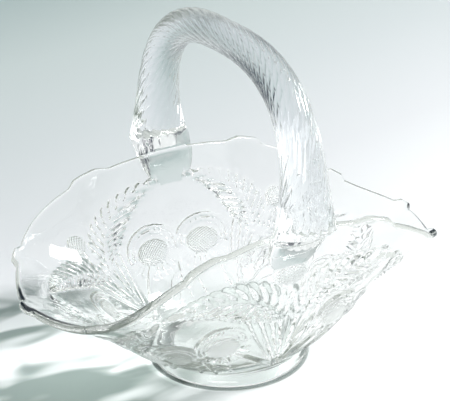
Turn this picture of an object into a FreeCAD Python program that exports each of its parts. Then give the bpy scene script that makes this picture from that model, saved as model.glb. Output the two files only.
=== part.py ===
# Clear pressed-glass basket: a round footed bowl whose rim was pulled out at two ends and
# pinched up at two sides, with a twisted ribbed glass rod arched over it and fused to the sides.
# Millimetres. Origin under the middle of the foot, X along the length, Y through the handle's feet.
import FreeCAD, Part
import Sketcher
import math
import os

V = FreeCAD.Vector

DRIVING_SIZES = (
    # Foot
    ("foot_radius", 50.0),
    ("foot_bevel", 1.2),
    ("foot_band_height", 7.0),
    ("foot_band_taper", 1.0),
    ("foot_shoulder_rise", 3.8),
    ("foot_shoulder_run", 4.1),
    ("recess_radius", 41.0),
    ("recess_depth", 4.5),
    ("recess_taper", 2.5),
    # Bowl wall, up its outside: start, three guides and the mean rim
    ("wall_start_radius", 46.0),
    ("wall_start_height", 9.5),
    ("lower_guide_radius", 62.5),
    ("lower_guide_height", 24.0),
    ("middle_guide_radius", 71.7),
    ("middle_guide_height", 45.5),
    ("upper_guide_radius", 64.9),
    ("upper_guide_height", 57.5),
    ("rim_mean_radius", 105.0),
    ("rim_mean_height", 81.9),
    # Rim seen from above and from the side
    ("rim_half_length", 131.9),
    ("end_fullness", 11.9),
    ("end_roundness", 3.35),
    ("rim_half_width", 73.2),
    ("side_fullness", 5.7),
    ("side_flatness", 3.0),
    ("side_rise", 22.7),
    ("corner_drop", 5.4),
    ("length_pull", 1.08),
    ("width_pinch", 4.5),
    # Glass thickness and floor
    ("wall_thickness", 4.6),
    ("floor_height", 12.0),
    ("floor_radius", 33.0),
    ("floor_start", 0.19),
    ("lip_bevel", 1.5),
    # Facets of the hollow, and how far its tool solid stands out above the rim
    ("hollow_facets", 60),
    ("hollow_overrun", 8.0),
    ("hollow_peak_height", 130.0),
    ("lid_radius", 30.0),
    ("lid_height", 66.0),
    # Small tabs on the rim
    ("tab_count", 10),
    ("tab_rise", 3.4),
    ("tab_half_angle", 3.8),
    ("tab_flat_share", 0.6),
    ("tab_end_share", 1.4),
    ("tab_root", 0.95),
    ("tab_root_softness", 1.5),
    # Handle rod
    ("handle_half_span", 84.3),
    ("handle_spring_height", 116.2),
    ("handle_rise", 87.2),
    ("handle_squareness", 2.78),
    ("rod_radius_top", 9.8),
    ("rod_radius_gain", 3.3),
    ("rod_gain_curve", 1.2),
    ("foot_flare", 6.6),
    ("flare_sharpness", 7.0),
    ("rib_count", 18),
    ("rib_depth", 1.5),
    ("twist_degrees", 340.0),
    ("twist_bunching", 0.36),
    # Pad where each foot of the handle was pressed on the outside of the wall
    ("pad_length", 32.0),
    ("pad_embed", 2.3),
    ("pad_tip_half_width", 1.0),
    ("pad_face_curve", 1.8),
    ("pad_outline_curve", 2.2),
    ("pad_rib_share", 0.4),
    # Pressed pattern on the outside: like panels, each mirrored about its own middle
    ("panel_count", 5),
    ("panel_start", 54.0),
    ("pattern_per_degree", 1.2),
    ("pattern_per_rise", 100.0),
    ("head_across", 30.0),
    ("head_up", 40.0),
    ("head_radius", 8.5),
    ("head_height", 2.1),
    ("bud_up", 77.0),
    ("bud_radius", 5.5),
    ("bud_height", 1.8),
    ("frond_half_width", 8.5),
    ("frond_height", 1.6),
    ("frond_lobes", 8),
    ("frond_notch_share", 0.55),
    ("frond_slant", 0.9),
    ("frond_fullness", 0.6),
    ("frond_belly", 0.8),
    ("frond_thinning", 0.25),
    ("stem_half_width", 1.2),
    ("stem_height", 1.1),
    ("ring_reach_across", 13.0),
    ("ring_reach_up", 17.0),
    ("ring_start", -10.0),
    ("ring_sweep", 200.0),
    ("root_depth", 0.6),
)

# Bands up the outside, facet rows down the hollow, and rows of the round between wall and floor
OUTER_BANDS = 6
HOLLOW_BANDS = 7
FLOOR_SHARES = (0.5, 1.0)
LIP_OVERLAP = 1.5
ROD_STATIONS = 24
PAD_STEPS = (1.0, 0.85, 0.6, 0.3)

doc = FreeCAD.newDocument("glass_basket")
sheet = doc.addObject("Spreadsheet::Sheet", "sizes")
for line, (name, value) in enumerate(DRIVING_SIZES, 1):
    sheet.set("A%d" % line, name)
    sheet.set("B%d" % line, repr(value))
    sheet.setAlias("B%d" % line, name)
doc.recompute()


def size(name):
    return float(sheet.get(name))


# Foot: a turned ring with a hollow under it
def foot_ring():
    sketch = doc.addObject("Sketcher::SketchObject", "foot_profile")
    sketch.Placement = FreeCAD.Placement(V(0, 0, 0), FreeCAD.Rotation(V(1, 0, 0), 90))
    radius = size("foot_radius")
    band = size("foot_band_height")
    shoulder_radius = radius - size("foot_band_taper") - size("foot_shoulder_run")
    top = band + size("foot_shoulder_rise")
    corners = [
        (0, size("recess_depth")),
        (size("recess_radius") - size("recess_taper"), size("recess_depth")),
        (size("recess_radius"), 0),
        (radius - size("foot_bevel"), 0),
        (radius, size("foot_bevel")),
        (radius - size("foot_band_taper"), band),
        (shoulder_radius, top),
        (0, top),
    ]
    count = len(corners)
    for i in range(count):
        start = V(corners[i][0], corners[i][1], 0)
        end = V(corners[(i + 1) % count][0], corners[(i + 1) % count][1], 0)
        sketch.addGeometry(Part.LineSegment(start, end), False)
    for i in range(count):
        sketch.addConstraint(Sketcher.Constraint("Coincident", i, 2, (i + 1) % count, 1))
    places = {
        0: ("0", "recess_depth"),
        1: ("recess_radius - sizes.recess_taper", "recess_depth"),
        2: ("recess_radius", "0"),
        3: ("foot_radius - sizes.foot_bevel", "0"),
        4: ("foot_radius", "foot_bevel"),
        5: ("foot_radius - sizes.foot_band_taper", "foot_band_height"),
        6: ("foot_radius - sizes.foot_band_taper - sizes.foot_shoulder_run",
            "foot_band_height + sizes.foot_shoulder_rise"),
        7: ("0", "foot_band_height + sizes.foot_shoulder_rise"),
    }
    for i, (across, up) in places.items():
        for kind, text, value in (("DistanceX", across, corners[i][0]),
                                  ("DistanceY", up, corners[i][1])):
            if text == "0":
                other = "PointOnObject"
                axis = -2 if kind == "DistanceX" else -1
                sketch.addConstraint(Sketcher.Constraint(other, i, 1, axis))
                continue
            index = sketch.addConstraint(Sketcher.Constraint(kind, -1, 1, i, 1, value))
            label = "%s_%d" % (kind, i)
            sketch.renameConstraint(index, label)
            sketch.setExpression("Constraints." + label, "sizes." + text)
    ring = doc.addObject("Part::Revolution", "foot")
    ring.Source = sketch
    ring.Axis = V(0, 0, 1)
    ring.Base = V(0, 0, 0)
    ring.Angle = 360
    ring.Solid = True
    return ring


# Bowl: five-point curve up the wall, spread to the rim's own outline
def wall_point(rise, turn):
    keep = 1.0 - rise
    weights = (keep ** 4, 4 * keep ** 3 * rise, 6 * keep ** 2 * rise ** 2,
               4 * keep * rise ** 3, rise ** 4)
    radii = (size("wall_start_radius"), size("lower_guide_radius"),
             size("middle_guide_radius"), size("upper_guide_radius"), size("rim_mean_radius"))
    heights = (size("wall_start_height"), size("lower_guide_height"),
               size("middle_guide_height"), size("upper_guide_height"), size("rim_mean_height"))
    radius = sum(w * r for w, r in zip(weights, radii))
    height = sum(w * h for w, h in zip(weights, heights))
    pull = rise ** size("length_pull")
    pinch = rise ** size("width_pinch")
    end_third = -size("end_fullness")
    end_fifth = size("end_roundness")
    end_first = size("rim_half_length") - end_third - end_fifth - size("rim_mean_radius")
    side_third = size("side_fullness")
    side_fifth = -size("side_flatness")
    side_first = size("rim_half_width") + side_third - side_fifth - size("rim_mean_radius")
    x = radius * math.cos(turn) + pull * (end_first * math.cos(turn)
                                          + end_third * math.cos(3 * turn)
                                          + end_fifth * math.cos(5 * turn))
    y = radius * math.sin(turn) + pinch * (side_first * math.sin(turn)
                                           + side_third * math.sin(3 * turn)
                                           + side_fifth * math.sin(5 * turn))
    z = height + pull * (-size("side_rise") * math.cos(2 * turn)
                         + size("corner_drop") * math.cos(4 * turn))
    return V(x, y, z)


def wall_frame(rise, turn):
    step = 0.001
    low = max(rise - step, 0.0)
    high = min(rise + step, 1.0)
    up = wall_point(high, turn) - wall_point(low, turn)
    along = wall_point(rise, turn + step) - wall_point(rise, turn - step)
    outward = along.cross(up)
    up.normalize()
    outward.normalize()
    return up, outward


def tab_height(turn):
    pitch = 2 * math.pi / size("tab_count")
    half = math.radians(size("tab_half_angle"))
    away = abs((turn + pitch / 2) % pitch - pitch / 2) / half
    reach = size("tab_end_share") - size("tab_flat_share")
    fade = min(max((size("tab_end_share") - away) / reach, 0.0), 1.0)
    return size("tab_rise") * fade * fade * (3 - 2 * fade)


def skin_point(rise, turn, depth):
    outward = wall_frame(rise, turn)[1]
    rim_up = wall_frame(1.0, turn)[0]
    root = size("tab_root")
    lift = max((rise - root) / (1.0 - root), 0.0) ** size("tab_root_softness")
    extra = (tab_height(turn) - size("lip_bevel")) * lift
    return wall_point(rise, turn) - outward * depth + rim_up * extra


def plain_turns():
    half_pitch = math.pi / size("tab_count")
    return [half_pitch * (i - 0.5) for i in range(2 * int(size("tab_count")))]


def tab_turns():
    pitch = 360.0 / size("tab_count")
    half = size("tab_half_angle")
    one_side = [size("tab_flat_share") * half, half, size("tab_end_share") * half, pitch / 4]
    offsets = [-away for away in reversed(one_side)] + [0.0] + one_side + [pitch / 2]
    return [math.radians(tab * pitch + away)
            for tab in range(int(size("tab_count"))) for away in offsets]


def closed_row(points, turns):
    row = Part.BSplineCurve()
    row.interpolate(Points=points, PeriodicFlag=True, Parameters=turns + [turns[0] + 2 * math.pi])
    return row


def ruled_band(lower, upper):
    poles = [[below, above] for below, above in zip(lower.getPoles(), upper.getPoles())]
    surface = Part.BSplineSurface()
    surface.buildFromPolesMultsKnots(poles, lower.getMultiplicities(), [2, 2],
                                     lower.getKnots(), [0.0, 1.0], True, False, 3, 1)
    return surface.toShape()


def bands(rows):
    return [ruled_band(lower, upper) for lower, upper in zip(rows, rows[1:])]


# The floor of the bowl runs into the wall along a parabola for each direction
def floor_rows(turns):
    thick = size("wall_thickness")
    start_rise = size("floor_start")
    step = 0.01
    rows = [[] for _ in FLOOR_SHARES]
    for turn in turns:
        start = skin_point(start_rise, turn, thick)
        slope = start - skin_point(start_rise + step, turn, thick)
        corner = start + slope * ((size("floor_height") - start.z) / slope.z)
        end = V(size("floor_radius") * math.cos(turn), size("floor_radius") * math.sin(turn),
                size("floor_height"))
        for row, part in zip(rows, FLOOR_SHARES):
            row.append(start * (1 - part) ** 2 + corner * (2 * part * (1 - part)) + end * part ** 2)
    return rows


def outside_rows():
    turns = plain_turns()
    return [closed_row([skin_point(size("tab_root") * step / OUTER_BANDS, turn, 0.0) for turn in turns], turns)
            for step in range(OUTER_BANDS + 1)]


def outer_body():
    """The bowl's outside with its lip, closed over by a lid that lies in the hollow."""
    thick = size("wall_thickness")
    bevel = size("lip_bevel")
    fine = tab_turns()
    outer_rows = outside_rows()

    # The tabs need closer stations than the wall, so the rim is made of bands of its own
    crown = []
    for depth, lift in ((0.0, 0.0), (thick / 2, bevel), (LIP_OVERLAP * thick, -bevel)):
        points = [skin_point(1.0, turn, depth) + wall_frame(1.0, turn)[0] * lift for turn in fine]
        crown.append(closed_row(points, fine))
    outer_root = closed_row([outer_rows[-1].value(turn) for turn in fine], fine)
    lid = closed_row([V(size("lid_radius") * math.cos(turn), size("lid_radius") * math.sin(turn),
                        size("lid_height")) for turn in fine], fine)
    faces = bands(outer_rows) + bands([outer_root] + crown + [lid])
    faces.append(Part.Face(Part.Wire([outer_rows[0].toShape()])))
    faces.append(Part.Face(Part.Wire([lid.toShape()])))
    return closed_solid(faces)


def hollow():
    """The inside of the bowl as a solid of narrow flat facets that stands out above the rim."""
    thick = size("wall_thickness")
    count = int(size("hollow_facets"))
    turns = [2 * math.pi * i / count for i in range(count)]

    def ring_at(rise, beyond=0.0):
        points = []
        for turn in turns:
            up, outward = wall_frame(rise, turn)
            points.append(wall_point(rise, turn) - outward * thick + up * beyond)
        return points

    rings = [ring_at(1.0, size("hollow_overrun"))]
    for step in range(HOLLOW_BANDS + 1):
        rings.append(ring_at(1.0 - (1.0 - size("floor_start")) * step / HOLLOW_BANDS))
    rings += floor_rows(turns)
    faces = [flat_face(list(reversed(rings[-1])))]
    for upper, lower in zip(rings, rings[1:]):
        faces += facet_band(lower, upper)
    peak = V(0, 0, size("hollow_peak_height"))
    for i in range(count):
        faces.append(flat_face([rings[0][i], rings[0][(i + 1) % count], peak]))
    return closed_solid(faces)


def facet_band(low, high):
    count = len(low)
    faces = []
    for i in range(count):
        j = (i + 1) % count
        if low[i].distanceToPoint(high[j]) < low[j].distanceToPoint(high[i]):
            faces += [flat_face([low[i], low[j], high[j]]), flat_face([low[i], high[j], high[i]])]
        else:
            faces += [flat_face([low[i], low[j], high[i]]), flat_face([low[j], high[j], high[i]])]
    return faces


def closed_solid(faces):
    shell = Part.makeShell(faces)
    shell.sewShape(0.001)
    solid = Part.Solid(shell)
    if solid.Orientation == "Reversed":
        shell.reverse()
        solid = Part.Solid(shell)
    return solid


# Handle: a ribbed rod along a square-shouldered arch, ending in a pressed pad on each side
def arch_line(steps=720):
    span = size("handle_half_span")
    rise = size("handle_rise")
    power = 2.0 / size("handle_squareness")
    points = []
    for i in range(steps + 1):
        angle = math.pi * i / steps
        across = math.cos(angle)
        y = math.copysign(abs(across) ** power, across) * span
        z = size("handle_spring_height") + rise * math.sin(angle) ** power
        points.append((y, z))
    return points


def wall_side_reach(height):
    low, high = 0.0, 1.0
    for _ in range(40):
        middle = (low + high) / 2
        if wall_point(middle, math.pi / 2).z < height:
            low = middle
        else:
            high = middle
    return wall_point((low + high) / 2, math.pi / 2).y


def handle_sections():
    line = arch_line()
    lengths = [0.0]
    for (y0, z0), (y1, z1) in zip(line, line[1:]):
        lengths.append(lengths[-1] + math.hypot(y1 - y0, z1 - z0))
    total = lengths[-1]
    sections = []
    reach_out = (size("handle_half_span") + size("rod_radius_top") + size("rod_radius_gain")
                 - wall_side_reach(size("handle_spring_height")))
    half_width = size("rod_radius_top") + size("rod_radius_gain") + size("foot_flare")
    tip = size("pad_tip_half_width")
    pad = []
    for part in PAD_STEPS:
        z = size("handle_spring_height") - size("pad_length") * part
        skin = wall_side_reach(z)
        inside = skin - size("pad_embed") * part - (1 - part) * (
            skin - size("handle_half_span") + size("rod_radius_top") + size("rod_radius_gain"))
        outside = skin + (reach_out + tip) * (1 - part ** size("pad_face_curve")) - tip
        wide = tip + (half_width - tip) * math.sqrt(max(1 - part ** size("pad_outline_curve"), 0.0))
        deep = (outside - inside) / 2
        rib = size("rib_depth") * max(1 - part / size("pad_rib_share"), 0.0)
        pad.append(((inside + outside) / 2, z, wide, deep, rib))
    index = 0
    arch = []
    for i in range(ROD_STATIONS + 1):
        want = total * i / ROD_STATIONS
        while index < len(lengths) - 2 and lengths[index + 1] < want:
            index += 1
        part = (want - lengths[index]) / (lengths[index + 1] - lengths[index])
        y = line[index][0] * (1 - part) + line[index + 1][0] * part
        z = line[index][1] * (1 - part) + line[index + 1][1] * part
        ahead = line[min(index + 2, len(line) - 1)]
        behind = line[max(index - 1, 0)]
        run = math.hypot(ahead[0] - behind[0], ahead[1] - behind[1])
        tangent = ((ahead[0] - behind[0]) / run, (ahead[1] - behind[1]) / run)
        share = want / total
        from_top = abs(2 * share - 1)
        deep = size("rod_radius_top") + size("rod_radius_gain") * from_top ** size("rod_gain_curve")
        wide = deep + size("foot_flare") * from_top ** size("flare_sharpness")
        twist = math.radians(size("twist_degrees")) * (
            share - size("twist_bunching") * math.sin(2 * math.pi * share) / (2 * math.pi))
        outward = (tangent[1], -tangent[0])
        arch.append((V(0, y, z), V(0, outward[0], outward[1]), wide, deep, size("rib_depth"), twist))
    for y, z, wide, deep, rib in pad:
        sections.append((V(0, y, z), V(0, 1, 0), wide, deep, rib, arch[0][5]))
    sections += arch
    for y, z, wide, deep, rib in reversed(pad):
        sections.append((V(0, -y, z), V(0, -1, 0), wide, deep, rib, arch[-1][5]))
    return sections


def handle_shape():
    corners = 2 * int(size("rib_count"))
    loops = []
    for middle, outward, wide, deep, rib, twist in handle_sections():
        loop = []
        for corner in range(corners):
            groove = rib * (corner % 2)
            angle = 2 * math.pi * corner / corners + twist
            loop.append(middle + V(1, 0, 0) * ((wide - groove) * math.cos(angle))
                        + outward * ((deep - groove) * math.sin(angle)))
        loops.append(loop)
    faces = [flat_face(loops[0]), flat_face(loops[-1])]
    for near, far in zip(loops, loops[1:]):
        faces += facet_band(near, far)
    return closed_solid(faces)


def flat_face(points):
    return Part.Face(Part.makePolygon(points + [points[0]]))



# Pressed pattern: a point is a distance across its panel and up the wall, in millimetres
def pattern_point(panel, across, up, height):
    degrees = (size("panel_start") + 360.0 / size("panel_count") * panel
               + across / size("pattern_per_degree"))
    place = up / size("pattern_per_rise") / size("tab_root") * OUTER_BANDS
    band = int(min(max(place, 0), OUTER_BANDS - 1))
    low, high = OUTSIDE_ROWS[band], OUTSIDE_ROWS[band + 1]
    start = low.FirstParameter
    turn = start + (math.radians(degrees) - start) % (2 * math.pi)
    step = 0.001
    share = place - band
    point = low.value(turn) * (1 - share) + high.value(turn) * share
    further = low.value(turn + step) * (1 - share) + high.value(turn + step) * share
    outward = (further - point).cross(high.value(turn) - low.value(turn))
    return point + outward.normalize() * height


def curve_point(curve, share):
    """Point and heading on a curve of three guides, carried straight on past its ends."""
    held = min(max(share, 0.0), 1.0)
    (x0, y0), (x1, y1), (x2, y2) = curve
    keep = 1.0 - held
    x = x0 * keep ** 2 + 2 * x1 * keep * held + x2 * held ** 2
    y = y0 * keep ** 2 + 2 * y1 * keep * held + y2 * held ** 2
    heading = V(2 * keep * (x1 - x0) + 2 * held * (x2 - x1),
                2 * keep * (y1 - y0) + 2 * held * (y2 - y1), 0)
    beyond = share - held
    return V(x, y, 0) + heading * beyond, heading


def roof_solid(panel, side, middle, left, right, height):
    """A ridge with a roof-shaped section; its edges and underside lie within the wall."""
    root = size("root_depth")

    def put(point, tall):
        return pattern_point(panel, side * point.x, point.y, tall)

    first = put(middle[0], -root)
    last = put(middle[-1], -root)
    crest = [first] + [put(p, height) for p in middle[1:-1]] + [last]
    keel = [first] + [put(p, -2 * root) for p in middle[1:-1]] + [last]
    edges = [[first] + [put(p, -root) for p in row[1:-1]] + [last] for row in (left, right)]
    faces = []
    for spine in (crest, keel):
        for edge in edges:
            for i in range(len(spine) - 1):
                corners = [spine[i], spine[i + 1], edge[i + 1], edge[i]]
                for a, b, c in ((0, 1, 2), (0, 2, 3)):
                    trio = [corners[a], corners[b], corners[c]]
                    if (trio[0] - trio[1]).Length > 1e-6 and (trio[1] - trio[2]).Length > 1e-6 \
                            and (trio[2] - trio[0]).Length > 1e-6:
                        faces.append(flat_face(trio))
    return closed_solid(faces)


def frond(panel, side, curve):
    lobes = int(size("frond_lobes"))
    middle, left, right = [], [], []
    for k in range(2 * lobes + 1):
        share = k / (2.0 * lobes)
        swell = math.sin(math.pi * share ** size("frond_belly")) ** size("frond_fullness")
        reach = size("frond_half_width") * swell * (1 - size("frond_thinning") * share)
        if k % 2 == 0:
            reach *= size("frond_notch_share")
        point, heading = curve_point(curve, share)
        run = heading.Length
        ahead, heading = curve_point(curve, share + size("frond_slant") * reach / run)
        across = V(-heading.y, heading.x, 0) / heading.Length
        middle.append(point)
        left.append(ahead + across * reach)
        right.append(ahead - across * reach)
    return roof_solid(panel, side, middle, left, right, size("frond_height"))


def stem(panel, side, curve, pieces):
    middle, left, right = [], [], []
    for k in range(pieces + 1):
        point, heading = curve_point(curve, k / float(pieces))
        across = V(-heading.y, heading.x, 0) * (size("stem_half_width") / heading.Length)
        middle.append(point)
        left.append(point + across)
        right.append(point - across)
    return roof_solid(panel, side, middle, left, right, size("stem_height"))


def ring(panel, side):
    middle, left, right = [], [], []
    half = size("stem_half_width")
    for k in range(RING_PIECES + 1):
        bearing = math.radians(size("ring_start") + size("ring_sweep") * k / RING_PIECES)
        for row, extra in ((middle, 0.0), (left, half), (right, -half)):
            row.append(V(size("head_across") + (size("ring_reach_across") + extra) * math.cos(bearing),
                         size("head_up") + (size("ring_reach_up") + extra) * math.sin(bearing), 0))
    return roof_solid(panel, side, middle, left, right, size("stem_height"))


def dome(panel, across, up, radius, height, corners):
    rings = []
    for reach, tall in ((1.0, -size("root_depth")), (DOME_SHOULDER, DOME_SHOULDER * height)):
        rings.append([pattern_point(panel, across + radius * reach * math.cos(2 * math.pi * i / corners),
                                    up + radius * reach * math.sin(2 * math.pi * i / corners), tall)
                      for i in range(corners)])
    peak = pattern_point(panel, across, up, height)
    under = pattern_point(panel, across, up, -2 * size("root_depth"))
    faces = facet_band(rings[0], rings[1])
    for i in range(corners):
        j = (i + 1) % corners
        faces.append(flat_face([rings[1][i], rings[1][j], peak]))
        faces.append(flat_face([rings[0][i], rings[0][j], under]))
    return closed_solid(faces)


DOME_SHOULDER = 0.72
RING_PIECES = 6
OUTSIDE_ROWS = outside_rows()
FROND_LINE = ((2.0, 46.0), (10.0, 74.0), (41.0, 86.0))
SIDE_STEM_LINE = ((1.5, 8.0), (14.0, 14.0), (27.0, 34.0))
MIDDLE_STEM_LINE = ((0.0, 6.0), (0.0, 40.0), (0.0, 74.0))


def pattern():
    panels = range(int(size("panel_count")))
    groups = {"thistle_buds": [], "middle_stems": []}
    for panel in panels:
        groups["thistle_buds"].append(dome(panel, 0.0, size("bud_up"), size("bud_radius"),
                                           size("bud_height"), 6))
        groups["middle_stems"].append(stem(panel, 1, MIDDLE_STEM_LINE, 4))
    for name, side in (("left", -1), ("right", 1)):
        groups[name + "_heads"] = [dome(panel, side * size("head_across"), size("head_up"),
                                        size("head_radius"), size("head_height"), 8) for panel in panels]
        groups[name + "_fronds"] = [frond(panel, side, FROND_LINE) for panel in panels]
        groups[name + "_stems"] = [stem(panel, side, SIDE_STEM_LINE, 4) for panel in panels]
        groups[name + "_rings"] = [ring(panel, side) for panel in panels]
    features = []
    for name, solids in groups.items():
        feature = doc.addObject("Part::Feature", name)
        feature.Shape = Part.makeCompound(solids)
        features.append(feature)
    return features


foot = foot_ring()
outside = doc.addObject("Part::Feature", "bowl_outside")
outside.Shape = outer_body()
inside = doc.addObject("Part::Feature", "bowl_hollow")
inside.Shape = hollow()
bowl = doc.addObject("Part::Cut", "bowl")
bowl.Base = outside
bowl.Tool = inside
handle = doc.addObject("Part::Feature", "handle")
handle.Shape = handle_shape()
basket = doc.addObject("Part::MultiFuse", "basket")
relief = pattern()
basket.Shapes = [bowl, foot, handle] + relief
basket.Label = "glass_basket"
doc.recompute()

NODES = [basket]
for item in doc.Objects:
    if "Invalid" in item.State or "Error" in item.State:
        raise RuntimeError("%s did not rebuild: %s" % (item.Label, item.State))
for item in (outside, inside, bowl, foot, handle, basket):
    shape = item.Shape
    if shape.isNull() or not shape.isValid() or len(shape.Solids) != 1:
        raise RuntimeError("%s is not one valid solid" % item.Label)

os.makedirs("parts", exist_ok=True)
for node in NODES:
    node.Shape.exportStep(os.path.join("parts", node.Label + ".step"))
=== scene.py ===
import math
import bpy
import numpy as np
from mathutils import Matrix, Vector


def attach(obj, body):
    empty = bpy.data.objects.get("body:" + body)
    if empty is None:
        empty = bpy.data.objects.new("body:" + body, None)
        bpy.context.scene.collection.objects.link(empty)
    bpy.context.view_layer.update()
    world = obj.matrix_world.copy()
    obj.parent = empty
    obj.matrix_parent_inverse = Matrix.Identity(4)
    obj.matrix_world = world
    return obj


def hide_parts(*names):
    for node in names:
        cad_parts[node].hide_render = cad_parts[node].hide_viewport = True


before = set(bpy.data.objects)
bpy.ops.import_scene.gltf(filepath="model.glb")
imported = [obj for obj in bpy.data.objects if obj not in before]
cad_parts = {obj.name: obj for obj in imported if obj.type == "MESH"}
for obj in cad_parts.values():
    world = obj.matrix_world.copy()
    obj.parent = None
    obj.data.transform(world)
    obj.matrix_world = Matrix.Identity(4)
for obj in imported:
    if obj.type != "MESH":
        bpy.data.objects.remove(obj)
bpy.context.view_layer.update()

MM = 0.001

# Bowl wall: five-point curve up the outside, spread to the rim's own outline (millimetres)
GUIDE_RADII = (46.0, 62.5, 71.7, 64.9, 105.0)
GUIDE_HEIGHTS = (9.5, 24.0, 45.5, 57.5, 81.9)
HALF_LENGTH = 131.9
HALF_WIDTH = 73.2
END_THIRD = -11.9
END_FIFTH = 3.35
SIDE_THIRD = 5.7
SIDE_FIFTH = -3.0
SIDE_RISE = 22.7
CORNER_DROP = 5.4
LENGTH_PULL = 1.08
WIDTH_PINCH = 4.5
WALL = 4.6
FLOOR_HEIGHT = 12.0
FLOOR_RADIUS = 33.0
FLOOR_START = 0.19
FLOOR_RADII = (24.0, 12.0)
LIP = 1.5
TAB_COUNT = 10
TAB_RISE = 3.4
TAB_HALF_ANGLE = math.radians(3.8)
TAB_ROOT = 0.95
TAB_GROWTH = 1.5

# Foot ring: radius and height of each ring of points, from under the middle to the wall
FOOT_HOLLOW = 4.5
FOOT_PROFILE = (
    (14.0, 4.5), (28.0, 4.5), (36.0, 4.5), (38.0, 4.4), (38.8, 3.9), (40.4, 0.9), (41.0, 0.25),
    (41.8, 0.0), (45.0, 0.0), (48.0, 0.0), (49.0, 0.2), (49.7, 0.8), (49.95, 1.8), (49.7, 4.0),
    (49.3, 6.3), (48.9, 7.2), (48.0, 8.2), (47.1, 9.0), (46.7, 9.5))

# Relief: five like panels. A place on a panel is its distance across from the panel's middle and its
# height up the wall, both in rough millimetres.
PANELS = 5
PANEL_TURN = 54.0
MM_PER_DEGREE = 1.2
MM_PER_RISE = 100.0
PANEL_EDGE = 43.2
HEAD_ACROSS = 30.0
HEAD_UP = 40.0
HEAD_RADIUS = 8.6
HEAD_HEIGHT = 2.3
BUD_UP = 77.0
BUD_HALF_WIDTH = 5.0
BUD_HALF_HEIGHT = 6.5
BUD_HEIGHT = 1.9
SCROLL_HALF_WIDTH = 13.0
SCROLL_HALF_HEIGHT = 17.0
SCROLL_SIZE = 15.0
BRISTLE_REACH = 17.5
BRISTLE_HEIGHT = 1.3
BRISTLE_RATE = 11.0
LOOP_UP = 8.0
LOOP_RADIUS = 11.5
LOOP_FLATTENING = 0.8

# Start, guide and end of each stem, its half width and its height
STEMS = (
    ((1.5, 8.0), (14.0, 14.0), (27.0, 34.0), 1.5, 1.6),
    ((0.0, 5.0), (0.0, 40.0), (0.0, 72.0), 1.4, 1.6),
    ((2.6, 12.0), (13.0, 30.0), (15.0, 55.0), 1.3, 1.5),
    ((1.4, 14.0), (9.0, 34.0), (10.5, 56.0), 1.2, 1.5),
    ((0.6, 16.0), (5.5, 36.0), (6.0, 60.0), 1.2, 1.4),
    ((0.3, 20.0), (2.6, 42.0), (2.6, 66.0), 1.0, 1.2))

# Start, guide and end of each frond, its half width, pitch and slant of its lobes, and its height:
# one that arches over the head to the rim, and a small leaf between the panels
FRONDS = (
    ((2.0, 46.0), (10.0, 74.0), (41.0, 86.0), 13.0, 4.6, 1.2, 1.9),
    ((43.2, 7.0), (43.0, 20.0), (43.2, 33.0), 5.0, 3.8, 0.9, 1.2))

# Handle rod
SPAN = 84.3
SPRING_HEIGHT = 116.2
ARCH_RISE = 87.2
SQUARENESS = 2.78
ARCH_STATIONS = 121
ROD_TOP = 9.8
ROD_GAIN = 3.3
ROD_SWELL = 1.2
FLARE = 6.6
FLARE_SHARPNESS = 7.0
RIBS = 18
POINTS_PER_RIB = 9
RIB_DEPTH = 0.42
ROUND_VALLEY = 0.5
SHARP_VALLEY = 1.4
VALLEY_SHARPNESS = 8
TWIST = math.radians(340.0)
BUNCHING = 0.36

# Pads, where the rod's ends are pressed to the wall. A part of 1 is the pad's tip.
PAD_PARTS = (1.0, 0.99, 0.97, 0.94, 0.9, 0.84, 0.77, 0.68, 0.58, 0.48, 0.38, 0.3, 0.25, 0.2, 0.15,
             0.1, 0.05)
PAD_LENGTH = 32.0
PAD_EMBED = 2.3
PAD_TIP = 1.0
PAD_SKIN = 1.0
PAD_INSIDE_CURVE = 1.25
PAD_OUTSIDE_CURVE = 0.55
PAD_ROUNDNESS = 2.2
PAD_RIB_SHARE = 0.6

# Points round the bowl and up it
WALL_COLUMNS = 560
PLAIN_COLUMNS = WALL_COLUMNS // 2
RELIEF_START = 0.02
RELIEF_RINGS = 92
PLAIN_RISES = (0.963, 0.975, 0.987, 1.0)
LIP_ANGLES = (22, 45, 67, 90, 113, 135, 158, 180)
INNER_TOP_RISES = (0.985, 0.97, 0.95)
INNER_TOP = 0.92
INNER_RINGS = 22
BEND_RINGS = 8

# The drawn form is kept a hair inside the box of the solid
WITHIN_PART = np.array([0.9990, 0.9988, 0.9998])

# Glass
GLASS_IOR = 1.5
WALL_TINT = (0.985, 0.988, 0.984, 1.0)
# The rod's darker tint, and the heights where it comes in, are partly painted shade
ROD_TINT_AND_SHADE = (0.87, 0.89, 0.905, 1.0)
ROD_SHADE_START = 0.104
ROD_SHADE_FULL = 0.130
SHADOW_BLEND = 0.45
SHADOW_FACING = (0.92, 0.935, 0.93, 1.0)
SHADOW_SLANTED = (0.35, 0.40, 0.385, 1.0)
MOST_REFLECTIONS = 2.5
# Grey tint on rays that leave after many reflections: painted shade
CUT_RAY_SHADE = (0.76, 0.78, 0.75, 1.0)
HATCH_RATE = 1.7
HATCH_DEPTH = 0.00042
RIPPLE_SCALE = 45.0
RIPPLE_DETAIL = 2.0
RIPPLE_DEPTH = 0.0005

# Floor: tones along its length away from the camera, as shares of the run; their darkening away is painted
# shade in place of the light falling off
FLOOR_REACH = 6.0
FLOOR_RUN = 1.6
FLOOR_LEAN = 0.25
FLOOR_SHADE_TONES = (
    (0.0, (0.98, 1.0, 1.0, 1.0)), (0.1125, (0.785, 0.81, 0.825, 1.0)),
    (0.225, (0.69, 0.745, 0.75, 1.0)), (0.3375, (0.63, 0.71, 0.70, 1.0)),
    (0.45, (0.49, 0.59, 0.58, 1.0)), (0.6, (0.62, 0.69, 0.68, 1.0)))
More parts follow.
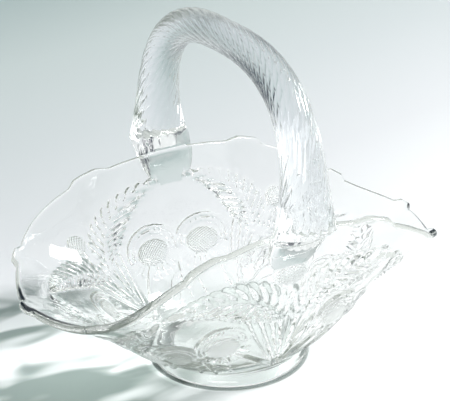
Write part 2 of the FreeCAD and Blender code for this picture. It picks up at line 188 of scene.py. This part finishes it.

# Painted shadow of the glass on the floor: its direction, middle, half sizes and painted bright patches,
# and the painted shade under the foot
SHADOW_EAST = -0.82
SHADOW_NORTH = 0.57
SHADOW_ALONG = 0.145
SHADOW_HALF_LENGTH = 0.165
SHADOW_ASIDE = -0.02
SHADOW_HALF_WIDTH = 0.098
SHADOW_EDGE = 1.1
SHADOW_CORE = 0.45
SHADE = (0.27, 0.32, 0.30, 1.0)
PATCH_TURN = math.radians(30.0)
PATCH_STRETCH = (9.0, 17.0, 1.0)
PATCH_SCALE = 1.6
PATCH_DETAIL = 1.5
PATCH_DISTORTION = 0.9
PATCH_START = 0.42
PATCH_FULL = 0.62
PATCH_STRENGTH = 0.75
UNDER_EDGE = 0.056
UNDER_CORE = 0.040
UNDER_STRENGTH = 0.34

# Lamp
LAMP_PLACE = (1.25, -0.58, 1.08)
LAMP_TARGET = (0.0, 0.0, 0.05)
LAMP_SIZE = 0.5
LAMP_POWER = 24.0

# Room: its own tone, the even light that it sheds on matt surfaces, and its dim sides and window,
# each with its direction, the cosines at its edge and at its full tone, and the tone
ROOM_TONE = (0.88, 0.91, 0.91, 1.0)
ROOM_LIGHT = (0.50, 0.51, 0.52, 1.0)
ROOM_SIDES = (
    ((0.80, 0.52, 0.25), 0.92, 0.96, (0.04, 0.05, 0.08, 1.0)),
    ((-0.22, 0.93, 0.22), 0.84, 0.95, (0.08, 0.10, 0.12, 1.0)),
    ((-0.84, 0.48, 0.26), 0.84, 0.95, (0.04, 0.05, 0.07, 1.0)),
    ((-0.50, -0.78, 0.34), 0.90, 0.96, (0.06, 0.09, 0.14, 1.0)),
    ((-0.62, -0.77, 0.10), 0.92, 0.94, (6.0, 6.0, 6.0, 1.0)))

# Camera
LENS = 120.06
SENSOR = 36.0
CAMERA_PLACE = (-0.4092, -0.6982, 0.4685)
CAMERA_FORWARD = (0.45966, 0.78625, -0.41295)
CAMERA_ROLL = math.radians(-0.726)


def rising(value, start, run):
    return np.clip((value - start) / run, 0.0, 1.0)


def falling(value, end, run):
    return np.clip((end - value) / run, 0.0, 1.0)


def eased(share):
    return share * share * (3 - 2 * share)


def unit(vectors):
    return vectors / np.linalg.norm(vectors, axis=-1, keepdims=True)


def wall_point(rise, turn):
    """Place on the plain outside of the wall, from a share of its height and an angle."""
    keep = 1.0 - rise
    weights = (keep ** 4, 4 * keep ** 3 * rise, 6 * keep ** 2 * rise ** 2, 4 * keep * rise ** 3, rise ** 4)
    radius = sum(w * r for w, r in zip(weights, GUIDE_RADII))
    height = sum(w * h for w, h in zip(weights, GUIDE_HEIGHTS))
    pull = rise ** LENGTH_PULL
    pinch = rise ** WIDTH_PINCH
    end_first = HALF_LENGTH - END_THIRD - END_FIFTH - GUIDE_RADII[-1]
    side_first = HALF_WIDTH + SIDE_THIRD - SIDE_FIFTH - GUIDE_RADII[-1]
    x = radius * np.cos(turn) + pull * (end_first * np.cos(turn) + END_THIRD * np.cos(3 * turn)
                                        + END_FIFTH * np.cos(5 * turn))
    y = radius * np.sin(turn) + pinch * (side_first * np.sin(turn) + SIDE_THIRD * np.sin(3 * turn)
                                         + SIDE_FIFTH * np.sin(5 * turn))
    z = height + pull * (-SIDE_RISE * np.cos(2 * turn) + CORNER_DROP * np.cos(4 * turn))
    return np.stack(np.broadcast_arrays(x, y, z), axis=-1)


def wall_frame(rise, turn):
    """Directions up the wall and out of it."""
    step = 0.001
    low = np.maximum(rise - step, 0.0)
    high = np.minimum(rise + step, 1.0)
    up = unit(wall_point(high, turn) - wall_point(low, turn))
    along = wall_point(rise, turn + step) - wall_point(rise, turn - step)
    return up, unit(np.cross(along, up))


def tab_height(turn):
    pitch = 2 * math.pi / TAB_COUNT
    away = np.abs((turn + pitch / 2) % pitch - pitch / 2) / TAB_HALF_ANGLE
    return TAB_RISE * eased(falling(away, 1.4, 0.8))


def wall_skin(rise, turn, depth, lift=0.0):
    """Place on the wall at a depth below its outside, with the tabs of the rim."""
    outward = wall_frame(rise, turn)[1]
    rim_up = wall_frame(np.ones_like(rise), turn)[0]
    share = np.clip((rise - TAB_ROOT) / (1.0 - TAB_ROOT), 0.0, None) ** TAB_GROWTH
    extra = (tab_height(turn) - LIP) * share + lift
    return wall_point(rise, turn) - outward * np.expand_dims(depth, -1) + rim_up * np.expand_dims(extra, -1)


def side_reach(height):
    rises = np.linspace(0, 1, 2001)
    side = wall_point(rises, np.full_like(rises, math.pi / 2))
    return float(np.interp(height, side[:, 2], side[:, 1]))


def soft_ridge(distance, half_width):
    share = np.clip(1.0 - (distance / half_width) ** 2, 0.0, 1.0)
    return np.sqrt(share)


def quadratic(start, guide, end, count=64):
    t = np.linspace(0, 1, count)[:, None]
    start, guide, end = (np.array(p) for p in (start, guide, end))
    return start * (1 - t) ** 2 + guide * 2 * t * (1 - t) + end * t ** 2


def along_curve(across, up, curve):
    """Distance along a curve, signed distance beside it and share along, for each point."""
    steps = np.diff(curve, axis=0)
    lengths = np.concatenate([[0.0], np.cumsum(np.linalg.norm(steps, axis=1))])
    best = np.full(across.shape, 1e9)
    place = np.zeros(across.shape)
    side = np.zeros(across.shape)
    for i, (point, step) in enumerate(zip(curve[:-1], steps)):
        run = np.linalg.norm(step)
        dx = across - point[0]
        dy = up - point[1]
        t = (dx * step[0] + dy * step[1]) / run ** 2
        held = np.clip(t, 0.0, 1.0)
        if i == 0:
            held = np.clip(t, -8.0, 1.0)
        if i == len(steps) - 1:
            held = np.clip(t, 0.0, 8.0)
        off = np.hypot(dx - held * step[0], dy - held * step[1])
        near = off < best
        best = np.where(near, off, best)
        place = np.where(near, lengths[i] + held * run, place)
        side = np.where(near, np.sign(step[0] * dy - step[1] * dx), side)
    return place, best * side, place / lengths[-1]


def frond(across, up, curve, half_width, pitch, slant, height):
    """Leaf of slanted lobes on both sides of a midrib."""
    place, beside, share = along_curve(across, up, curve)
    away = np.abs(beside)
    inside = np.clip(share, 0.0, 1.0)
    envelope = half_width * np.sin(np.pi * inside ** 0.8) ** 0.6 * (1.0 - 0.25 * inside)
    phase = (place - away * slant) / pitch
    lobe = np.abs(np.sin(np.pi * phase))
    edge = envelope * (0.70 + 0.30 * lobe)
    ends = rising(share, 0.0, 0.04) * falling(share, 1.02, 0.05)
    leaf = height * (0.12 + 0.88 * lobe ** 0.9) * eased(falling(away, edge, 3.5)) * ends
    midrib = (height + 0.2) * soft_ridge(away, 1.1) * ends
    return np.maximum(leaf, midrib)


def relief(rise, turn):
    """Height of the pressed pattern, with places inside the hatched heads for the fine texture."""
    pitch = 360.0 / PANELS
    degrees = np.degrees(turn) - PANEL_TURN
    local = (degrees + pitch / 2) % pitch - pitch / 2
    height = np.zeros(np.broadcast(rise, turn).shape)
    across = np.broadcast_to(np.abs(local) * MM_PER_DEGREE, height.shape)
    up = np.broadcast_to(rise * MM_PER_RISE, height.shape)

    # Stems, with a bud on the middle one
    for start, guide, end, half_width, tall in STEMS:
        place, beside, share = along_curve(across, up, quadratic(start, guide, end))
        ends = rising(share, 0.0, 0.05) * falling(share, 1.05, 0.06)
        height = np.maximum(height, tall * soft_ridge(np.abs(beside), half_width) * ends)
    bud = np.hypot(across / BUD_HALF_WIDTH, (up - BUD_UP) / BUD_HALF_HEIGHT)
    height = np.maximum(height, BUD_HEIGHT * np.sqrt(np.clip(1 - bud ** 2, 0, 1)))

    for start, guide, end, half_width, lobe_pitch, slant, tall in FRONDS:
        leaf = frond(across, up, quadratic(start, guide, end), half_width, lobe_pitch, slant, tall)
        height = np.maximum(height, leaf)

    # Two scrolls over each flower head
    head_x = across - HEAD_ACROSS
    head_y = up - HEAD_UP
    reach = np.hypot(head_x, head_y)
    bearing = np.degrees(np.arctan2(head_y, head_x))
    upper = rising(bearing, -12.0, 8.0) * falling(bearing, 192.0, 8.0)
    stretched = np.hypot(head_x / SCROLL_HALF_WIDTH, head_y / SCROLL_HALF_HEIGHT)
    for size, tall in ((1.0, 1.4), (0.8, 1.1)):
        scroll = tall * soft_ridge(np.abs(stretched - size) * SCROLL_SIZE, tall)
        height = np.maximum(height, scroll * upper)

    # Bristles under the head, then the domed head itself
    lower = falling(bearing, -22.0, 8.0) * rising(bearing, -158.0, 8.0)
    spikes = rising(reach, HEAD_RADIUS, 1.0) * falling(reach, BRISTLE_REACH, 3.0)
    wave = np.abs(np.sin(np.radians(bearing) * BRISTLE_RATE)) ** 0.8
    height = np.maximum(height, lower * spikes * BRISTLE_HEIGHT * wave)
    dome = np.sqrt(np.clip(1 - (reach / HEAD_RADIUS) ** 2, 0, 1))
    height = np.where(reach < HEAD_RADIUS, HEAD_HEIGHT * dome, height)

    # Loops near the foot, between the panels
    loop = np.hypot(across - PANEL_EDGE, (up - LOOP_UP) * LOOP_FLATTENING)
    height = np.maximum(height, soft_ridge(np.abs(loop - LOOP_RADIUS), 1.0) * rising(up, LOOP_UP, 1.5))

    fade = rising(rise, 0.03, 0.03) * falling(rise, 0.945, 0.015)
    hatch = falling(reach / HEAD_RADIUS, 1.0, 0.1)
    hatch = np.maximum(hatch, falling(bud, 1.0, 0.15))
    return height * fade, hatch * fade, across, up


class Skin:
    """Vertices and faces of a closed surface made of rings that follow each other."""

    def __init__(self):
        self.points = []
        self.notes = []
        self.faces = []
        self.last = None

    def ring(self, points, notes=None):
        first = len(self.points)
        points = np.atleast_2d(points)
        self.points.extend(points)
        if notes is None:
            notes = np.zeros((len(points), 3))
        self.notes.extend(notes)
        ring = list(range(first, len(self.points)))
        if self.last is not None:
            self.join(self.last, ring)
        self.last = ring

    def join(self, low, high):
        """Faces between two rings: one may be a single point, or have half the other's points."""
        if len(low) == 1:
            count = len(high)
            self.faces += [(low[0], high[(i + 1) % count], high[i]) for i in range(count)]
        elif len(high) == 1:
            count = len(low)
            self.faces += [(low[i], low[(i + 1) % count], high[0]) for i in range(count)]
        elif len(low) == len(high):
            count = len(low)
            self.faces += [(low[i], low[(i + 1) % count], high[(i + 1) % count], high[i])
                           for i in range(count)]
        elif len(high) == 2 * len(low):
            count = len(low)
            for i in range(count):
                j = (i + 1) % count
                a, b, c = high[2 * i], high[2 * i + 1], high[(2 * i + 2) % len(high)]
                self.faces += [(low[i], b, a), (low[i], low[j], b), (low[j], c, b)]
        else:
            count = len(high)
            for i in range(count):
                j = (i + 1) % count
                a, b, c = low[2 * i], low[2 * i + 1], low[(2 * i + 2) % len(low)]
                self.faces += [(a, b, high[i]), (b, high[j], high[i]), (b, c, high[j])]

    def mesh(self, name, on_rod):
        data = bpy.data.meshes.new(name)
        data.from_pydata((np.array(self.points) * WITHIN_PART * MM).tolist(), [], self.faces)
        for index, label in enumerate(("hatch", "place_across", "place_up")):
            layer = data.attributes.new(label, "FLOAT", "POINT")
            layer.data.foreach_set("value", np.array(self.notes)[:, index].astype(np.float32))
        layer = data.attributes.new("on_rod", "FLOAT", "POINT")
        layer.data.foreach_set("value", np.full(len(self.points), on_rod, dtype=np.float32))
        data.update()
        return data


def circle(radius, height):
    turn = np.linspace(0, 2 * math.pi, PLAIN_COLUMNS, endpoint=False)
    return np.stack([radius * np.cos(turn), radius * np.sin(turn), np.full_like(turn, height)], axis=-1)


def bowl_skin():
    """Foot, outside with its relief, lip, inside and floor of the bowl, in that order."""
    body = Skin()
    body.ring([[0.0, 0.0, FOOT_HOLLOW]])
    for radius, height in FOOT_PROFILE:
        body.ring(circle(radius, height))
    fine = np.linspace(0, 2 * math.pi, WALL_COLUMNS, endpoint=False)
    plain = fine[::2]
    for rise in np.linspace(RELIEF_START, TAB_ROOT, RELIEF_RINGS):
        tall = np.full_like(fine, rise)
        height, hatch, across, up = relief(tall, fine)
        body.ring(wall_skin(tall, fine, -height), np.stack([hatch, across, up], axis=-1))
    for rise in PLAIN_RISES:
        body.ring(wall_skin(np.full_like(plain, rise), plain, np.zeros_like(plain)))
    for angle in np.radians(LIP_ANGLES):
        depth = WALL / 2 * (1 - math.cos(angle))
        lift = LIP * math.sin(angle)
        body.ring(wall_skin(np.ones_like(plain), plain, np.full_like(plain, depth), lift))
    deep = np.full_like(plain, WALL)
    for rise in np.concatenate([INNER_TOP_RISES, np.linspace(INNER_TOP, FLOOR_START, INNER_RINGS)]):
        body.ring(wall_skin(np.full_like(plain, rise), plain, deep))
    start = wall_skin(np.full_like(plain, FLOOR_START), plain, deep)
    slope = start - wall_skin(np.full_like(plain, FLOOR_START + 0.01), plain, deep)
    corner = start + slope * ((FLOOR_HEIGHT - start[:, 2:]) / slope[:, 2:])
    end = circle(FLOOR_RADIUS, FLOOR_HEIGHT)
    for part in np.linspace(0, 1, BEND_RINGS)[1:]:
        body.ring(start * (1 - part) ** 2 + corner * 2 * part * (1 - part) + end * part ** 2)
    for radius in FLOOR_RADII:
        body.ring(circle(radius, FLOOR_HEIGHT))
    body.ring([[0.0, 0.0, FLOOR_HEIGHT]])
    return body


def handle_skin():
    """Ribbed rod that twists along a square-shouldered arch, with a flat pad at either end."""
    corner = np.linspace(0, 2 * math.pi, RIBS * POINTS_PER_RIB, endpoint=False)
    valley = 1.0 - np.abs(np.cos(corner * RIBS / 2))
    groove = ROUND_VALLEY * valley + SHARP_VALLEY * valley ** VALLEY_SHARPNESS

    def section(y, z, out_y, out_z, wide, deep, rib, twist):
        angle = corner + twist
        cut = rib * groove
        x = (wide - cut) * np.cos(angle)
        reach = (deep - cut) * np.sin(angle)
        return np.stack([x, y + out_y * reach, z + out_z * reach], axis=-1)

    power = 2.0 / SQUARENESS
    angle = np.linspace(0, math.pi, 4001)
    across = np.cos(angle)
    line_y = np.sign(across) * np.abs(across) ** power * SPAN
    line_z = SPRING_HEIGHT + ARCH_RISE * np.abs(np.sin(angle)) ** power
    length = np.concatenate([[0.0], np.cumsum(np.hypot(np.diff(line_y), np.diff(line_z)))])
    share = np.linspace(0, 1, ARCH_STATIONS)
    y = np.interp(share * length[-1], length, line_y)
    z = np.interp(share * length[-1], length, line_z)
    tangent_y = np.gradient(y)
    tangent_z = np.gradient(z)
    run = np.hypot(tangent_y, tangent_z)
    from_top = np.abs(2 * share - 1)
    deep = ROD_TOP + ROD_GAIN * from_top ** ROD_SWELL
    wide = deep + FLARE * from_top ** FLARE_SHARPNESS
    twist = TWIST * (share - BUNCHING * np.sin(2 * math.pi * share) / (2 * math.pi))
    arch = [section(y[i], z[i], tangent_z[i] / run[i], -tangent_y[i] / run[i], wide[i], deep[i],
                    RIB_DEPTH, twist[i]) for i in range(len(share))]

    rod = ROD_TOP + ROD_GAIN
    reach_out = SPAN + rod - side_reach(SPRING_HEIGHT)
    pads = []
    for part in PAD_PARTS:
        height = SPRING_HEIGHT - PAD_LENGTH * part
        reach = side_reach(height)
        inside = reach - PAD_EMBED * part - (1 - part ** PAD_INSIDE_CURVE) * (reach - SPAN + rod)
        outside = reach + (reach_out + PAD_SKIN) * (1 - part ** PAD_OUTSIDE_CURVE) - PAD_SKIN
        roundness = math.sqrt(max(1 - part ** PAD_ROUNDNESS, 0.0))
        pad_wide = PAD_TIP + (rod + FLARE - PAD_TIP) * roundness
        pad_rib = RIB_DEPTH * max(1 - part / PAD_RIB_SHARE, 0.0)
        pads.append(((inside + outside) / 2, height, pad_wide, (outside - inside) / 2, pad_rib))
    first = [section(y, z, 1.0, 0.0, wide, deep, rib, twist[0]) for y, z, wide, deep, rib in pads]
    last = [section(-y, z, -1.0, 0.0, wide, deep, rib, twist[-1]) for y, z, wide, deep, rib in pads]
    rings = first + arch + last[::-1]
    body = Skin()
    body.ring([rings[0].mean(axis=0)])
    for ring in rings:
        body.ring(ring)
    body.ring([rings[-1].mean(axis=0)])
    return body


scene = bpy.context.scene


def linked(name, data):
    thing = bpy.data.objects.new(name, data)
    scene.collection.objects.link(thing)
    return thing


# One piece of glass: the rod is fused to the bowl
bowl = linked("bowl_form", bowl_skin().mesh("bowl_form", 0.0))
rod = linked("rod_form", handle_skin().mesh("rod_form", 1.0))
fuse = bowl.modifiers.new("fuse", "BOOLEAN")
fuse.operation = "UNION"
fuse.solver = "MANIFOLD"
fuse.object = rod
evaluated = bowl.evaluated_get(bpy.context.evaluated_depsgraph_get())
glass_mesh = bpy.data.meshes.new_from_object(evaluated)
glass_mesh.name = "basket_glass"
bpy.data.objects.remove(bowl)
bpy.data.objects.remove(rod)
basket = linked("basket_glass", glass_mesh)
glass_mesh.shade_smooth()
glass_mesh.set_sharp_from_angle(angle=math.radians(50.0))


def new_material(name):
    material = bpy.data.materials.new(name)
    material.use_nodes = True
    tree = material.node_tree
    tree.nodes.clear()
    return material, tree


def node(tree, kind, **values):
    made = tree.nodes.new(kind)
    for key, value in values.items():
        setattr(made, key, value)
    return made


def attribute(tree, name):
    return node(tree, "ShaderNodeAttribute", attribute_name=name).outputs["Fac"]


def calculate(tree, operation, *inputs):
    made = node(tree, "ShaderNodeMath", operation=operation)
    for socket, value in zip(made.inputs, inputs):
        if isinstance(value, (int, float)):
            socket.default_value = value
        else:
            tree.links.new(value, socket)
    return made.outputs[0]


def mixed(tree, factor, one, two):
    made = node(tree, "ShaderNodeMix", data_type="RGBA")
    for socket, value in zip((made.inputs[0], made.inputs[6], made.inputs[7]), (factor, one, two)):
        if isinstance(value, tuple):
            socket.default_value = value
        else:
            tree.links.new(value, socket)
    return made.outputs[2]


def stepped(tree, value, start, end):
    made = node(tree, "ShaderNodeMapRange", interpolation_type="SMOOTHSTEP")
    tree.links.new(value, made.inputs["Value"])
    made.inputs["From Min"].default_value = start
    made.inputs["From Max"].default_value = end
    return made.outputs["Result"]


def switched(tree, factor, one, two):
    made = node(tree, "ShaderNodeMixShader")
    for socket, value in zip(made.inputs, (factor, one, two)):
        tree.links.new(value, socket)
    return made.outputs["Shader"]


def separated(tree, vector):
    parts = node(tree, "ShaderNodeSeparateXYZ")
    tree.links.new(vector, parts.inputs["Vector"])
    return parts.outputs


def bumped(tree, height, distance):
    bump = node(tree, "ShaderNodeBump")
    bump.inputs["Strength"].default_value = 1.0
    bump.inputs["Distance"].default_value = distance
    tree.links.new(height, bump.inputs["Height"])
    return bump


def glass_material():
    material, tree = new_material("clear_glass")
    output = node(tree, "ShaderNodeOutputMaterial")
    place = node(tree, "ShaderNodeTexCoord").outputs["Object"]
    on_rod = attribute(tree, "on_rod")

    # The upper rod is given a darker tint: partly the little more light its thick glass takes beside the
    # wall, partly painted shade standing in for the dark lines the room makes in it
    glass = node(tree, "ShaderNodeBsdfPrincipled")
    raised = stepped(tree, separated(tree, place)["Z"], ROD_SHADE_START, ROD_SHADE_FULL)
    thick_and_shaded = calculate(tree, "MULTIPLY", raised, on_rod)
    tree.links.new(mixed(tree, thick_and_shaded, WALL_TINT, ROD_TINT_AND_SHADE), glass.inputs["Base Color"])
    glass.inputs["Roughness"].default_value = 0.0
    glass.inputs["IOR"].default_value = GLASS_IOR
    glass.inputs["Transmission Weight"].default_value = 1.0

    # Light that reaches the floor through the glass, dimmer where it meets the glass at a slant
    path = node(tree, "ShaderNodeLightPath").outputs
    slant = node(tree, "ShaderNodeLayerWeight")
    slant.inputs["Blend"].default_value = SHADOW_BLEND
    through = node(tree, "ShaderNodeBsdfTransparent")
    dimmed = mixed(tree, slant.outputs["Facing"], SHADOW_FACING, SHADOW_SLANTED)
    tree.links.new(dimmed, through.inputs["Color"])
    either = switched(tree, path["Is Shadow Ray"], glass.outputs["BSDF"], through.outputs["BSDF"])

    # A ray that has been reflected many times leaves the glass without another turn, with a grey tint that
    # is painted shade in place of the light its further turns would lose
    straight = node(tree, "ShaderNodeBsdfTransparent")
    straight.inputs["Color"].default_value = CUT_RAY_SHADE
    many = calculate(tree, "GREATER_THAN", path["Glossy Depth"], MOST_REFLECTIONS)
    surface = switched(tree, many, either, straight.outputs["BSDF"])
    tree.links.new(surface, output.inputs["Surface"])

    # Diamond hatch on the flower heads
    across = attribute(tree, "place_across")
    up = attribute(tree, "place_up")
    lines = []
    for operation in ("ADD", "SUBTRACT"):
        slanted = calculate(tree, "MULTIPLY", calculate(tree, operation, across, up), HATCH_RATE)
        lines.append(calculate(tree, "ABSOLUTE", calculate(tree, "SINE", slanted)))
    hatch = calculate(tree, "MULTIPLY", calculate(tree, "MULTIPLY", *lines), attribute(tree, "hatch"))
    diamonds = bumped(tree, hatch, HATCH_DEPTH)

    # Slight waviness of the bowl
    waves = node(tree, "ShaderNodeTexNoise")
    waves.inputs["Scale"].default_value = RIPPLE_SCALE
    waves.inputs["Detail"].default_value = RIPPLE_DETAIL
    tree.links.new(place, waves.inputs["Vector"])
    off_rod = calculate(tree, "SUBTRACT", 1.0, on_rod)
    ripple = bumped(tree, calculate(tree, "MULTIPLY", waves.outputs["Fac"], off_rod), RIPPLE_DEPTH)
    tree.links.new(diamonds.outputs["Normal"], ripple.inputs["Normal"])
    tree.links.new(ripple.outputs["Normal"], glass.inputs["Normal"])
    return material


basket.data.materials.clear()
basket.data.materials.append(glass_material())
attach(basket, "root")
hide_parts("glass_basket")


def floor_material():
    """Pale floor with painted shade that darkens it to the far left, and a painted soft shadow of the
    glass.
    """
    material, tree = new_material("pale_floor")
    output = node(tree, "ShaderNodeOutputMaterial")
    surface = node(tree, "ShaderNodeBsdfDiffuse")
    place = node(tree, "ShaderNodeTexCoord").outputs["Object"]
    parts = separated(tree, place)

    def blended(east, north):
        return calculate(tree, "ADD", calculate(tree, "MULTIPLY", parts["X"], east),
                         calculate(tree, "MULTIPLY", parts["Y"], north))

    def squares(one, two):
        return calculate(tree, "ADD", calculate(tree, "MULTIPLY", one, one),
                         calculate(tree, "MULTIPLY", two, two))

    # Painted shade: the floor's colour darkens away from the camera and to the left, in place of the lamp's
    # light falling off
    away = calculate(tree, "SUBTRACT", parts["Y"], calculate(tree, "MULTIPLY", parts["X"], FLOOR_LEAN))
    tones = node(tree, "ShaderNodeValToRGB")
    elements = tones.color_ramp.elements
    for index, (position, colour) in enumerate(FLOOR_SHADE_TONES):
        element = elements[index] if index < 2 else elements.new(position)
        element.position = position
        element.color = colour
    tree.links.new(calculate(tree, "DIVIDE", away, FLOOR_RUN), tones.inputs["Fac"])

    # Painted bright patches of gathered light within the painted shadow
    spread = node(tree, "ShaderNodeMapping")
    spread.inputs["Rotation"].default_value = (0.0, 0.0, PATCH_TURN)
    spread.inputs["Scale"].default_value = PATCH_STRETCH
    tree.links.new(place, spread.inputs["Vector"])
    patches = node(tree, "ShaderNodeTexNoise")
    patches.inputs["Scale"].default_value = PATCH_SCALE
    patches.inputs["Detail"].default_value = PATCH_DETAIL
    patches.inputs["Distortion"].default_value = PATCH_DISTORTION
    tree.links.new(spread.outputs["Vector"], patches.inputs["Vector"])
    gathered = stepped(tree, patches.outputs["Fac"], PATCH_START, PATCH_FULL)
    ungathered = calculate(tree, "SUBTRACT", 1.0, calculate(tree, "MULTIPLY", gathered, PATCH_STRENGTH))

    # Outline of the painted shadow, and the painted shade of the darker disc under the foot
    along = blended(SHADOW_EAST, SHADOW_NORTH)
    aside = blended(SHADOW_NORTH, -SHADOW_EAST)
    far = calculate(tree, "DIVIDE", calculate(tree, "SUBTRACT", along, SHADOW_ALONG), SHADOW_HALF_LENGTH)
    wide = calculate(tree, "DIVIDE", calculate(tree, "SUBTRACT", aside, SHADOW_ASIDE), SHADOW_HALF_WIDTH)
    within = stepped(tree, squares(far, wide), SHADOW_EDGE, SHADOW_CORE)
    dim = calculate(tree, "MULTIPLY", within, ungathered)
    centre = calculate(tree, "SQRT", squares(parts["X"], parts["Y"]))
    under = stepped(tree, centre, UNDER_EDGE, UNDER_CORE)
    dim = calculate(tree, "MAXIMUM", dim, calculate(tree, "MULTIPLY", under, UNDER_STRENGTH))
    shade = mixed(tree, dim, (1.0, 1.0, 1.0, 1.0), SHADE)
    product = node(tree, "ShaderNodeMix", data_type="RGBA", blend_type="MULTIPLY")
    product.inputs["Factor"].default_value = 1.0
    tree.links.new(tones.outputs["Color"], product.inputs[6])
    tree.links.new(shade, product.inputs[7])
    tree.links.new(product.outputs[2], surface.inputs["Color"])
    tree.links.new(surface.outputs["BSDF"], output.inputs["Surface"])
    return material


floor_data = bpy.data.meshes.new("floor")
floor_corners = [(-FLOOR_REACH, -FLOOR_REACH, 0), (FLOOR_REACH, -FLOOR_REACH, 0),
                 (FLOOR_REACH, FLOOR_REACH, 0), (-FLOOR_REACH, FLOOR_REACH, 0)]
floor_data.from_pydata(floor_corners, [], [(0, 1, 2, 3)])
floor = linked("floor", floor_data)
floor.data.materials.append(floor_material())

lamp_data = bpy.data.lights.new("soft_box", "AREA")
lamp_data.shape = "RECTANGLE"
lamp_data.size = LAMP_SIZE
lamp_data.size_y = LAMP_SIZE
lamp_data.energy = LAMP_POWER
lamp = linked("soft_box", lamp_data)
lamp.location = LAMP_PLACE
lamp_aim = Vector(LAMP_TARGET) - Vector(LAMP_PLACE)
lamp.rotation_euler = lamp_aim.to_track_quat("-Z", "Y").to_euler()


def room():
    """Even light on matt surfaces, and a pale room with dim sides and a window for all other rays."""
    world = bpy.data.worlds.new("room")
    world.use_nodes = True
    tree = world.node_tree
    tree.nodes.clear()
    output = node(tree, "ShaderNodeOutputWorld")
    background = node(tree, "ShaderNodeBackground")
    path = node(tree, "ShaderNodeLightPath")
    place = node(tree, "ShaderNodeTexCoord")
    seen = ROOM_TONE
    for direction, start, end, tone in ROOM_SIDES:
        dot = node(tree, "ShaderNodeVectorMath", operation="DOT_PRODUCT")
        tree.links.new(place.outputs["Generated"], dot.inputs[0])
        dot.inputs[1].default_value = Vector(direction).normalized()
        seen = mixed(tree, stepped(tree, dot.outputs["Value"], start, end), seen, tone)
    colour = mixed(tree, path.outputs["Is Diffuse Ray"], seen, ROOM_LIGHT)
    tree.links.new(colour, background.inputs["Color"])
    tree.links.new(background.outputs["Background"], output.inputs["Surface"])
    return world


scene.world = room()

camera_data = bpy.data.cameras.new("camera")
camera_data.lens = LENS
camera_data.sensor_width = SENSOR
camera = linked("camera", camera_data)
forward = Vector(CAMERA_FORWARD).normalized()
level = forward.cross(Vector((0, 0, 1))).normalized()
upward = level.cross(forward)
right = level * math.cos(CAMERA_ROLL) + upward * math.sin(CAMERA_ROLL)
top = -level * math.sin(CAMERA_ROLL) + upward * math.cos(CAMERA_ROLL)
turned = Matrix((right, top, -forward)).transposed().to_4x4()
camera.matrix_world = Matrix.Translation(CAMERA_PLACE) @ turned
scene.camera = camera

scene.view_settings.view_transform = "Standard"
